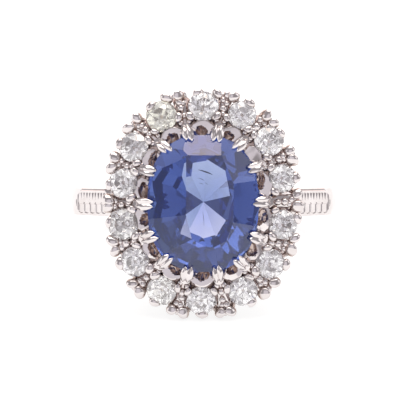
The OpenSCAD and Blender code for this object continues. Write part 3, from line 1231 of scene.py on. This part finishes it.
@dataclass
class Grains(Row):
    """The plates between the diamonds' cones, with their raised grains."""

    name: str = "grains"
    shading: Shading = Shading.SMOOTH
    subdivide: int = 1
    first_seed: int = 300
    hand: Hand = Hand(0.04, 2.6, 2.3)
    offsets: tuple[tuple[float, float, float], ...] = (
        (1.02, 0.0, 0.30), (0.52, 0.16, 0.27), (0.42, -0.18, 0.23), (-0.02, 0.03, 0.31),
        (-0.50, -0.05, 0.28), (-1.00, 0.28, 0.22), (-1.04, -0.26, 0.22),
    )
    stem_h: float = 0.5
    stem_share: float = 0.9
    dome_turns: tuple[float, ...] = (-30.0, -6.0, 18.0, 42.0, 66.0, 90.0)
    # Painted shade over each grain, full at its foot and fading up its dome.
    dome_shades: Span = (0.9, -0.25)
    dome: float = 0.8
    least_r: float = 0.03
    sink: float = 0.30
    grain_sink: float = 0.12
    thick: float = 0.55
    reach: Span = (-1.35, 1.22)
    half_w: Span = (0.1, 0.62)
    crest: Span = (0.6, 0.4)
    bow: Span = (0.04, 0.03)
    foot: float = 0.9
    # Painted shade on the plate, more towards its inner end.
    plate_shades: Span = (0.05, 0.6)
    fall: float = 0.25
    steps: int = 9
    sides: int = 10
    sizes: Span = (0.85, 1.12)
    aways: Span = (-0.08, 0.08)
    sways: Span = (-0.07, 0.07)

    def shape(self, draft: Draft, index: int, stone: Stone, chance: random.Random) -> None:
        """Adds a gap's plate and raised grains.

        Args:
            draft: the mesh that takes them.
            index: the place in the row, from 0.
            stone: the diamond there, not used here.
            chance: the row's random draws.
        """
        self._plate(draft, index)
        plan, (outward, aside) = self.shop.plan, self.shop.plan.axes(index)
        for away, side, r in self.offsets:
            size = r * chance.uniform(*self.sizes)
            away += chance.uniform(*self.aways)
            height = plan.diamond_z - self.grain_sink - self.fall * away
            middle = (
                plan.oval(*plan.row, plan.gap(index), height)
                + outward * away + aside * (side + chance.uniform(*self.sways))
            )
            rings, painted_shades = [self._ring(middle, size * self.stem_share, -self.stem_h)], [[1.0]]
            low, more = self.dome_shades
            for k, t in enumerate(map(math.radians, self.dome_turns)):
                z = size * self.dome * math.sin(t)
                rings.append(self._ring(middle, size * math.cos(t), z))
                painted_shades.append([low + more * k])
            draft.loft(rings, painted_shades)

    def _plate(self, draft: Draft, index: int) -> None:
        """Adds the waisted plate between two neighbouring cones.

        Args:
            draft: where it is added.
            index: the gap's number from 0.
        """
        plan, (outward, aside) = self.shop.plan, self.shop.plan.axes(index)
        middle = plan.oval(*plan.row, plan.gap(index), plan.diamond_z - self.sink)
        beside = [k % len(STONES) for k in (index, index + 1)]
        start, end = self.reach
        (near, far), (dip, swell), (pale, brown) = self.crest, self.bow, self.plate_shades
        rings, painted_shades = [], []
        for k in range(self.steps):
            away = start + (end - start) * k / (self.steps - 1)
            line, edges = middle + outward * away, []
            for stone in beside:
                offset = plan.place(stone).translation - line
                along, across = offset.dot(aside), offset.dot(outward)
                inside = max(0.0, (STONES[stone].dia / 2) ** 2 - across * across)
                least, most = self.half_w
                room = min(max(abs(along) - math.sqrt(inside), least), most)
                edges.append(math.copysign(room, along))
            (low, high), z = sorted(edges), -self.fall * away
            section = [
                (low, z - dip), (low * near + high * far, z + swell),
                (low * far + high * near, z + swell), (high, z - dip),
                (high * self.foot, z - self.thick), (low * self.foot, z - self.thick),
            ]
            rings.append([line + aside * x + Vector((0, 0, y)) for x, y in section])
            # Painted shade: on the top, more towards the inner end; full on the underside.
            painted_shades.append([pale + brown * max(0.0, away / start)] * 4 + [1.0] * 2)
        draft.loft(rings, painted_shades)

    def _ring(self, middle: Vector, r: float, z: float) -> list[Vector]:
        """Returns a level ring about a point."""
        return [middle + polar(max(r, self.least_r), t, z) for t in around(self.sides)]


@dataclass
class Collets(Row):
    """The open cone under each diamond, whose feet are shares of the diamond's radius."""

    name: str = "collet"
    height: float = 1.75
    feet: Span = (0.55, 0.32)
    rim: tuple[Span, ...] = (
        (0.05, -0.26), (0.06, -0.20), (0.03, -0.16), (-0.10, -0.18), (-0.14, -0.24)
    )
    sides: int = 36

    def shape(self, draft: Draft, index: int, stone: Stone, chance: random.Random) -> None:
        """Adds one cone with its bright cut rim.

        Args:
            draft: the mesh that takes them.
            index: the place in the row, from 0.
            stone: the diamond there.
            chance: the row's random draws, not used here.
        """
        r, place, turns = stone.dia / 2, self.shop.plan.place(index), around(self.sides)
        outer, inner = ((r * share, -self.height) for share in self.feet)
        profile = [outer, *((r + out, z) for out, z in self.rim), inner]
        draft.loft([[place @ polar(x, t, z) for t in turns] for x, z in profile], closed=True)
        # Painted shade, more the lower a point of the cone lies.
        draft.paint_shade_by(self.shop.depth)


def wire(r: float) -> Section:
    """Returns a round section of twelve points."""
    return [(r * math.cos(t), r * math.sin(t)) for t in around(WIRE_SIDES)]


@dataclass
class DoubleClaws(Row):
    """The fourteen split claws that hold the sapphire.

    Each step of a point is a place along it, aside and up, and the half width and height there.
    The section, a soft belly under two flat sides and a ridge, is twelve points: aside against
    the half width, how far each leans, and above against the height.
    """

    name: str = "double_claw"
    first_seed: int = 500
    hand: Hand = Hand(0.035, 2.2, 3.1)
    foot_z: float = 9.1
    neck_fall: float = 0.35
    stem: tuple[float, ...] = (0.24, 0.27, 0.36)
    off: float = 0.72
    lap: float = 0.36
    side: float = 0.155
    steps: tuple[tuple[float, ...], ...] = (
        (0.02, 0.60, -0.80, 0.17, 0.20), (0.03, 0.85, -0.25, 0.19, 0.22),
        (0.08, 1.00, 0.06, 0.20, 0.22), (0.28, 1.08, 0.26, 0.22, 0.17),
        (0.58, 1.16, 0.36, 0.21, 0.13), (0.80, 1.22, 0.41, 0.15, 0.09),
        (0.95, 1.24, 0.42, 0.08, 0.06), (1.03, 1.24, 0.40, 0.03, 0.03),
    )
    section: tuple[tuple[float, float, float], ...] = (
        (1.0, 0.0, -0.25), (0.98, 0.0, 0.05), (0.55, 0.5, 0.55), (0.1, 1.0, 0.98),
        (-0.1, 1.0, 0.98), (-0.55, 0.5, 0.55), (-0.98, 0.0, 0.05), (-1.0, 0.0, -0.25),
        (-0.7, 0.0, -0.7), (-0.25, 0.0, -0.85), (0.25, 0.0, -0.85), (0.7, 0.0, -0.7),
    )
    lean: float = 0.25
    # Painted shade starts this far below the sapphire's girdle, and is full this far lower.
    shade_top: float = 0.55
    shade_reach: float = 1.4
    reaches: Span = (0.82, 1.06)
    swings: Span = (0.85, 1.35)
    bulks: Span = (0.90, 1.25)
    leans: Span = (-0.6, 1.6)

    def shape(self, draft: Draft, index: int, stone: Stone, chance: random.Random) -> None:
        """Adds one claw, a stem that opens into two ridged points.

        Args:
            draft: the mesh that takes them.
            index: the place in the row, from 0.
            stone: the diamond there, not used here.
            chance: the row's random draws.
        """
        plan = self.shop.plan
        edge, inwards = plan.inward(index)
        neck, tip = edge - inwards * self.off, edge + inwards * self.lap
        aside = Vector((-inwards.y, inwards.x, 0))
        foot = plan.oval(*plan.basket, plan.gap(index), self.foot_z)
        top = neck + UP * (plan.sapphire_z - self.neck_fall)
        draft.sweep([foot, foot.lerp(top, 0.5), top], map(wire, self.stem), aside)
        for way in (-1.0, 1.0):
            spans = (self.reaches, self.swings, self.bulks, self.leans)
            reach, swing, bulk, lean = (chance.uniform(*span) for span in spans)
            path = [
                neck.lerp(tip, along * reach) + aside * (way * out * swing * self.side)
                + UP * (plan.sapphire_z + rise)
                for along, out, rise, _, _ in self.steps
            ]
            ridges = [self._ridge(w * bulk, h, way * lean) for _, _, _, w, h in self.steps]
            draft.sweep(path, ridges, aside)
        # Painted shade, more the lower a point lies.
        shade_z = plan.sapphire_z - self.shade_top
        draft.paint_shade_by(lambda point: (shade_z - point.z) / self.shade_reach)

    def _ridge(self, w: float, h: float, way: float) -> Section:
        """Sizes the section of a point.

        Args:
            w: half width.
            h: height of the ridge above the middle.
            way: which side the ridge leans to.

        Returns:
            Its points, aside and above.
        """
        lean = self.lean * w * way
        return [(x * w + lean * share, z * h) for x, share, z in self.section]


@dataclass
class Petals(Row):
    """The pale plates between the sapphire and the diamonds, each with a sunken opening in painted
    shade.
    """

    name: str = "petal"
    first_seed: int = 700
    hand: Hand = Hand(0.03, 1.4, 1.3)
    inner: float = -0.19
    reach: float = 0.50
    belly: float = 0.46
    room: float = 3.6
    rise: float = 0.28
    crown: float = 0.08
    fall: float = 0.14
    thick: float = 0.30
    edge: float = 0.05
    sway: float = 0.10
    hole_middle: float = 0.08
    hole_r: float = 0.36
    hole_depth: float = 0.55
    hole_skew: float = 0.15
    hole_rag: float = 0.6
    rag_spots: float = 1.3
    rag_shift: float = 3.7
    hole_powers: Span = (1.5, 0.45)
    # Painted shade in the opening and along the plate's edges.
    hole_shade: float = 1.8
    edge_shade: float = 0.8
    beyond: float = 9.0
    steps_along: int = 40
    steps_out: int = 14

    def shape(self, draft: Draft, index: int, stone: Stone, chance: random.Random) -> None:
        """Adds one plate.

        Args:
            draft: the mesh that takes them.
            index: the place in the row, from 0.
            stone: the diamond there.
            chance: the row's random draws.
        """
        plan = self.shop.plan
        first = plan.gap(index) + self.room
        last = plan.gap(index + len(STONES) - 1) + 360.0 - self.room
        sways = (self.sway, self.sway, self.hole_skew)
        tip, roll, skew = (chance.uniform(-sway, sway) for sway in sways)
        arc = math.radians(1.0) * plan.oval(*plan.rail, stone.angle).length
        shift, half = stone.hole[0], stone.hole[1] / 2
        rings, painted_shades = [], []
        for k in range(self.steps_along):
            share = k / (self.steps_along - 1)
            angle = first + (last - first) * share
            turn = (angle - stone.angle - shift + 180.0) % 360.0 - 180.0
            away = turn * arc / half if half else self.beyond
            belly = math.sin(math.pi * share)
            outer = self.reach + self.belly * belly
            crest = plan.diamond_z + self.rise + self.crown * belly + roll * (share - 0.5)
            top, low, marks = [], [], []
            for j in range(self.steps_out + 1):
                out = self.inner + (outer - self.inner) * j / self.steps_out
                inside = self._hole(away, out - skew * away, index)
                z = crest - ((out - self.inner) * (self.fall + tip) + self.hole_depth * inside)
                edge = self.edge if j in (0, self.steps_out) else 0.0
                a, b = (half_rail + out for half_rail in plan.rail)
                top.append(plan.oval(a, b, angle, z - edge))
                low.append(plan.oval(a, b, angle, z - self.thick + edge))
                # Painted shade fills the opening and lines the edges; the underside is fully
                # shaded.
                marks.append(max(self.hole_shade * inside, self.edge_shade if edge else 0.0))
            rings.append([*top, *reversed(low)])
            painted_shades.append([*marks, *[1.0] * len(low)])
        draft.loft(rings, painted_shades)

    def _hole(self, away: float, out: float, index: int) -> float:
        """Finds how deep the ragged opening is at a point.

        Args:
            away: distance along from its middle, against its half width.
            out: distance outwards from the rail.
            index: the plate's number.

        Returns:
            The depth, from 0 on the plate to 1.
        """
        over, (steep, wall) = (out - self.hole_middle) / self.hole_r, self.hole_powers
        spot = (away * self.rag_spots, over * self.rag_spots, index * self.rag_shift)
        rag = self.hole_rag * noise.noise(Vector(spot))
        return max(0.0, 1.0 + rag - abs(away) ** steep - over * over) ** wall


@dataclass
class Gallery:
    """The oval rails, the plate under the petals, and the struts between them.

    Each rail is the thickness of its wall, its height, and how far its top lies below the
    diamonds' girdles. The lowest stands on the band instead.
    """

    shop: Workshop
    lower: Span = (0.7, 1.15)
    under_diamonds: tuple[float, float, float] = (0.6, 0.5, 1.3)
    round_sapphire: tuple[float, float, float] = (0.4, 0.4, 0.50)
    under_petals: tuple[float, float, float] = (1.3, 0.3, 0.85)
    steps: int = 112
    relief: float = 0.2
    low_rise: float = 0.75
    tuck: float = 0.4
    plate: Span = (4.65, 5.70)
    soft: float = 0.14
    soft_share: float = 0.3
    corner_turns: tuple[int, ...] = (0, 45, 90)
    corners: tuple[tuple[int, int, int], ...] = (
        (-1, -1, 180), (1, -1, 270), (1, 1, 0), (-1, 1, 90)
    )
    struts: tuple[float, ...] = (0.3, 0.26, 0.23, 0.23, 0.25)
    strut_ends: Span = (0.24, 1.54)
    strut_bow: float = 0.12

    def build(self) -> None:
        """Makes the rails and the struts."""
        plan, draft = self.shop.plan, Draft()
        row, z = tuple(half - self.tuck for half in plan.row), plan.diamond_z
        low_z = plan.finger_r + self.low_rise
        self._rail("lower_rail", plan.basket, *self.lower, low_z, over_finger=True)
        for name, oval, (wall, height, fall) in (
            ("diamond_rail", row, self.under_diamonds),
            ("sapphire_rail", plan.rail, self.round_sapphire),
            ("gallery_plate", self.plate, self.under_petals),
        ):
            self._rail(name, oval, wall, height, z - fall)
        (foot, head), last = self.strut_ends, len(self.struts) - 1
        for angle in map(plan.gap, range(len(STONES))):
            low = plan.oval(*plan.basket, angle, low_z - foot)
            high = plan.oval(*row, angle, z - head)
            aside = polar(1.0, math.radians(angle + 90.0))
            path = [
                low.lerp(high, k / last) + UP * (self.strut_bow * math.sin(math.pi * k / last))
                for k in range(last + 1)
            ]
            draft.sweep(path, map(wire, self.struts), aside)
        # Painted shade on the struts, more the lower they lie.
        draft.paint_shade_by(self.shop.depth)
        self.shop.gold_piece(draft, "struts")

    def _rail(
        self, name: str, oval: Span, wall: float, height: float, top: float,
        over_finger: bool = False,
    ) -> None:
        """Makes one rail.

        Args:
            name: the piece's name.
            oval: half width and half length at the wall's middle.
            wall: thickness of the wall.
            height: how far it goes down.
            top: height of its top.
            over_finger: whether it keeps above the finger's room.
        """
        soft, draft, rings = min(self.soft, wall * self.soft_share), Draft(), []
        room = self.shop.plan.finger_r + self.relief
        for k in range(self.steps):
            rings.append([])
            for out, up, start in self.corners:
                for t in (math.radians(start + turn) for turn in self.corner_turns):
                    a, b = (half + (out * (wall / 2 - soft) + soft * math.cos(t)) for half in oval)
                    point = self.shop.plan.oval(a, b, 360.0 * k / self.steps)
                    base = top - height
                    if over_finger:
                        base = max(base, math.sqrt(max(0.0, room * room - point.x * point.x)))
                    point.z = (top - soft if up > 0 else base + soft) + soft * math.sin(t)
                    rings[-1].append(point)
        draft.loft(rings, closed=True)
        # Painted shade on every rail: half at the least, more the lower it lies.
        draft.paint_shade_by(lambda point: 0.5 + self.shop.depth(point))
        self.shop.gold_piece(draft, name, Shading.CREASED)


@dataclass
class Band:
    """The crowned band, its filed shoulders and their engraving.

    The lines and the border are cut to a depth, over half a width. Notches and ticks deepen by
    a slope.
    """

    shop: Workshop
    finger_d: float = 17.3
    back_t: float = 1.25
    front_t: float = 1.65
    shoulder_w: float = 2.05
    back_w: float = 1.75
    crown_rise: float = 0.2
    panel_angle: float = 33.0
    panel_depth: float = 0.29
    opening: float = 5.6
    taper_start: float = 2.0
    edge_round: float = 0.1
    end_lines: Span = (0.22, 0.45)
    end_space: float = 0.5
    line_cut: Span = (0.07, 0.06)
    line_reach: float = 0.86
    cell: float = 0.82
    notches: Span = (0.12, 0.68)
    notch_w: float = 0.17
    notch_slope: float = 0.7
    ticks: Span = (-0.2, -0.04)
    tick_slope: float = 0.8
    scoops: Span = (-0.86, -0.14)
    scoop_w: float = 0.44
    scoop_foot: Span = (-0.66, 0.18)
    scoop_depth: float = 0.085
    scoop_lip: Span = (0.04, 0.2)
    border: float = 0.88
    border_cut: Span = (0.06, 0.05)
    shade_depth: float = 0.4
    panel_turn: float = 0.6
    inner_turns: tuple[int, ...] = (0, -30, -60, -90)
    outer_turns: tuple[int, ...] = (60, 30, 0)
    across_steps: int = 56
    fine_step: float = 0.115
    coarse_step: float = 2.0

    def __post_init__(self) -> None:
        """Works out the circles and the flat panels."""
        half, tilt = self.shoulder_w / 2, math.radians(self.panel_angle)
        self.finger_r = self.finger_d / 2
        self.band_r = (self.finger_d + self.back_t + self.front_t) / 2
        self.shift = (self.front_t - self.back_t) / 2
        self.crown_r = (half * half + self.crown_rise**2) / (2 * self.crown_rise)
        self.panel_r = self.band_r + self.shift * math.sin(tilt) - self.panel_depth
        self.panel_l = 2 * math.sqrt(self.panel_depth * (2 * self.band_r - self.panel_depth))

    def build(self) -> None:
        """Makes the band in one piece."""
        draft = Draft()
        draft.loft(*zip(*(self._section(angle) for angle in self._stations())))
        self.shop.gold_piece(draft, "band", Shading.CREASED)

    def _stations(self) -> list[float]:
        """Lists the angles of the sections, fine along the panels and coarse elsewhere.

        Returns:
            Angles in degrees from the right side, from one end of the band to the other.
        """
        end = 90.0 - math.degrees(math.asin(self.opening / 2 / self.band_r))
        reach = math.degrees(math.atan(self.panel_l / 2 / self.panel_r)) + 1.0
        middles = (self.panel_angle, 180 - self.panel_angle)
        angles = [end]
        while angles[-1] > end - 360.0 + 2 * (90.0 - end):
            fine = any(abs((angles[-1] - p + 180) % 360 - 180) < reach for p in middles)
            angles.append(angles[-1] - (self.fine_step if fine else self.coarse_step))
        angles[-1] = 180.0 - end - 360.0
        return angles

    def _half_width(self, z: float) -> float:
        """Finds half the band's width.

        Args:
            z: height on the upright ring.

        Returns:
            Half the width there.
        """
        bottom = self.shift - self.band_r
        share = min(1.0, max(0.0, (z - bottom) / (self.taper_start - bottom)))
        return (self.back_w + (self.shoulder_w - self.back_w) * share) / 2

    def _outer(self, angle: float, v: float) -> Span:
        """Finds the band's outer face.

        Args:
            angle: degrees from the right side.
            v: place across the band.

        Returns:
            Distance from the finger's axis, and depth of the engraving.
        """
        a = math.radians(angle)
        drop = self.crown_r - math.sqrt(self.crown_r**2 - v * v)
        round_r = math.sqrt(self.band_r**2 - (self.shift * math.cos(a)) ** 2)
        blank = self.shift * math.sin(a) + round_r - drop
        for middle, to_head in ((self.panel_angle, 1.0), (180.0 - self.panel_angle, -1.0)):
            turn = math.radians((angle - middle + 180.0) % 360.0 - 180.0)
            if abs(turn) < self.panel_turn and self.panel_r / math.cos(turn) < blank:
                deep = self._engraving(self.panel_r * math.tan(turn) * to_head, v)
                return self.panel_r / math.cos(turn) - deep / math.cos(turn), deep
        return blank, 0.0

    def _engraving(self, s: float, v: float) -> float:
        """Finds the depth of the engraving.

        Args:
            s: place along the panel, growing towards the head.
            v: place across it, growing upwards.

        Returns:
            Depth in millimetres.
        """
        s += self.panel_l / 2
        if s < self.end_space:
            away, (deep, half) = min(abs(s - middle) for middle in self.end_lines), self.line_cut
            return deep * max(0.0, 1.0 - away / half) if abs(v) < self.line_reach else 0.0
        t = (s - self.end_space) % self.cell
        half = abs(t - self.cell / 2)
        quarter = abs((t + self.cell / 4) % (self.cell / 2) - self.cell / 4)
        most, reach = self.border_cut
        deep = most * max(0.0, 1.0 - abs(v - self.border) / reach)
        low, high = self.notches
        if low < v < high:
            width = self.notch_w * (v - low) / (high - low)
            deep = max(deep, self.notch_slope * max(0.0, width - quarter))
        low, high = self.ticks
        if low < v < high:
            room = (v - low) - abs(self.cell / 2 - half)
            deep = max(deep, self.tick_slope * max(0.0, room))
        low, high = self.scoops
        lobe = (half / (self.cell * self.scoop_w)) ** 2
        if low < v < high and lobe < 1.0:
            (foot, sag), (lip, start) = self.scoop_foot, self.scoop_lip
            bowl = math.sqrt(1.0 - lobe)
            rise = v - (foot - sag * bowl)
            if rise > 0:
                deep = max(deep, self.scoop_depth * bowl * min(1.0, rise / lip + start))
        return deep

    def _section(self, angle: float) -> tuple[list[Vector], list[float]]:
        """Makes the band's section at an angle.

        Args:
            angle: degrees from the right side.

        Returns:
            The section's points, and the brown painted shade that the engraving gives each.
        """
        a, soft = math.radians(angle), self.edge_round
        out = Vector((math.cos(a), 0.0, math.sin(a)))
        flat = self._half_width(self.band_r * math.sin(a)) - soft
        points, painted_shades = [], []
        for k in range(self.across_steps + 1):
            v = -flat + 2 * flat * k / self.across_steps
            r, deep = self._outer(angle, v)
            points.append(out * r + Vector((0, v, 0)))
            # Painted shade in the grooves, more where they are cut deeper.
            painted_shades.append(deep / self.shade_depth)
        inner, top, bottom = self.finger_r + soft, self.outer_turns, self.inner_turns
        for side, r, turns in (
            (1.0, self._outer(angle, flat)[0] - soft, top),
            (1.0, inner, bottom),
            (-1.0, inner, bottom[::-1]),
            (-1.0, self._outer(angle, -flat)[0] - soft, top[::-1]),
        ):
            for t in map(math.radians, turns):
                across = Vector((0, side * (flat + soft * math.cos(t)), 0))
                points.append(out * (r + soft * math.sin(t)) + across)
        return points, painted_shades + [0.0] * (len(points) - len(painted_shades))


@dataclass(frozen=True)
class Softbox:
    """One lit or dark panel of the studio's surroundings, seen from the ring."""

    towards: tuple[float, float, float]
    half_w: float
    half_h: float
    light: Colour
    blur: float
    upright: float = 0.05
    front: float = 0.02

    def inside(self, shop: Shop, way: Value) -> Value:
        """Finds how far a direction falls inside the panel.

        Args:
            shop: the tree's builder.
            way: the direction.

        Returns:
            The share, from 0 to 1.
        """
        towards = Vector(self.towards).normalized()
        across = UP.cross(towards)
        across = across.normalized() if across.length > self.upright else Vector((1, 0, 0))
        depth = shop.dot(way, towards)
        inside = depth.above(0.0, self.front)
        for axis, half in ((across, self.half_w), (towards.cross(across), self.half_h)):
            reach = abs(shop.dot(way, axis) / depth)
            inside = inside * (1.0 - reach.above(half - self.blur, half + self.blur))
        return inside


@dataclass
class Studio:
    """The pale floor, the surroundings and the camera."""

    plan: HeadPlan
    distance: float = 260.0
    px_per_mm: float = 13.77
    frame_px: float = 410.0
    sensor: float = 36.0
    tip_deg: float = 1.0
    shift: Span = (0.138, -0.109)
    floor_r: float = 8.0
    floor_sides: int = 64
    bounces: int = 28
    surface_bounces: tuple[int, int] = (8, 4)
    near: float = 0.01
    horizon_step: Span = (0.02, 0.06)
    surround: Colour = (0.35, 0.33, 0.345)
    horizon: Colour = (1.0, 1.0, 1.0)
    room: Softbox = Softbox((0.0, -1.0, 0.36), 0.50, 0.46, (0.76, 0.73, 0.78), 0.10)
    overhead: Softbox = Softbox((0.0, 0.15, 1.0), 0.58, 0.45, (2.3, 2.26, 2.2), 0.10)
    left: Softbox = Softbox((-1.0, -0.20, 0.35), 0.30, 0.26, (1.28, 1.25, 1.26), 0.08)
    right: Softbox = Softbox((1.0, -0.10, 0.55), 0.30, 0.26, (1.28, 1.25, 1.26), 0.08)
    lamp: Softbox = Softbox((0.0, 0.17, 1.0), 0.26, 0.18, (4.1, 3.5, 3.05), 0.06)
    behind: Softbox = Softbox((0.0, 1.0, 0.32), 0.90, 0.34, (1.75, 1.50, 1.42), 0.10)

    def build(self) -> None:
        """Makes the floor, the light and the camera."""
        self._floor()
        self._surroundings()
        self._camera()
        self._settings()

    def _floor(self) -> None:
        """Makes the pale floor."""
        mesh = bpy.data.meshes.new("floor")
        work = bmesh.new()
        bmesh.ops.create_circle(
            work, cap_ends=True, segments=self.floor_sides, radius=self.floor_r
        )
        work.to_mesh(mesh)
        work.free()
        mesh.materials.append(Paper().material())
        floor = bpy.data.objects.new("floor", mesh)
        bpy.context.scene.collection.objects.link(floor)

    def _surroundings(self) -> None:
        """Makes the light: panels all round, seen by direction alone."""
        world = bpy.data.worlds.new("studio")
        bpy.context.scene.world = world
        world.use_nodes = True
        shop = Shop(world.node_tree)
        way = shop.node("ShaderNodeTexCoord", output="Generated")
        height = abs(shop.dot(way, UP))
        colour = shop.mix(height.above(*self.horizon_step), self.horizon, self.surround)
        for box in (self.room, self.overhead, self.left, self.right, self.lamp, self.behind):
            colour = shop.mix(box.inside(shop, way), colour, box.light)
        shader = shop.node("ShaderNodeBackground", {"Color": colour, "Strength": 1.0})
        shop.node("ShaderNodeOutputWorld", {"Surface": shader})

    def _camera(self) -> None:
        """Sets the camera square to the head, tipped a little from above."""
        tip = math.radians(self.tip_deg)
        back, up = (Vector((0.0, math.sin(t), math.cos(t))) for t in (tip, tip + math.pi / 2))
        lie, turn = self.plan.lie, self.plan.lie.to_3x3()
        z_axis, y_axis = (turn @ back).normalized(), (turn @ up).normalized()
        place = Matrix((y_axis.cross(z_axis), y_axis, z_axis)).transposed().to_4x4()
        target = Vector((*self.shift, self.plan.diamond_z))
        place.translation = lie @ (target + back * self.distance)
        lens = bpy.data.cameras.new("camera")
        lens.sensor_width = self.sensor
        lens.lens = self.sensor * self.distance * self.px_per_mm / self.frame_px
        lens.clip_start = self.near
        camera = bpy.data.objects.new("camera", lens)
        camera.matrix_world = place
        bpy.context.scene.collection.objects.link(camera)
        bpy.context.scene.camera = camera

    def _settings(self) -> None:
        """Lets light turn often enough inside the stones."""
        bpy.context.scene.view_settings.view_transform = "Standard"
        cycles = bpy.context.scene.cycles
        cycles.max_bounces = cycles.transmission_bounces = self.bounces
        cycles.glossy_bounces, cycles.diffuse_bounces = self.surface_bounces
        cycles.caustics_reflective = cycles.caustics_refractive = False
        cycles.use_denoising = True


def main() -> None:
    """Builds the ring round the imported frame, then the studio."""
    logging.basicConfig(level=logging.INFO, format="%(name)s: %(message)s")
    noise.seed_set(HAND_SEED)
    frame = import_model()
    plan = HeadPlan.from_frame(frame)
    shop = Workshop(plan)
    for part in (Band, Gallery, Collets, Petals, RimClaws, Grains, DoubleClaws, DiamondRow,
                 CentreStone, Inclusions):
        part(shop).build()
    Studio(plan).build()
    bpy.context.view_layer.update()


if __name__ == "__main__":
    main()
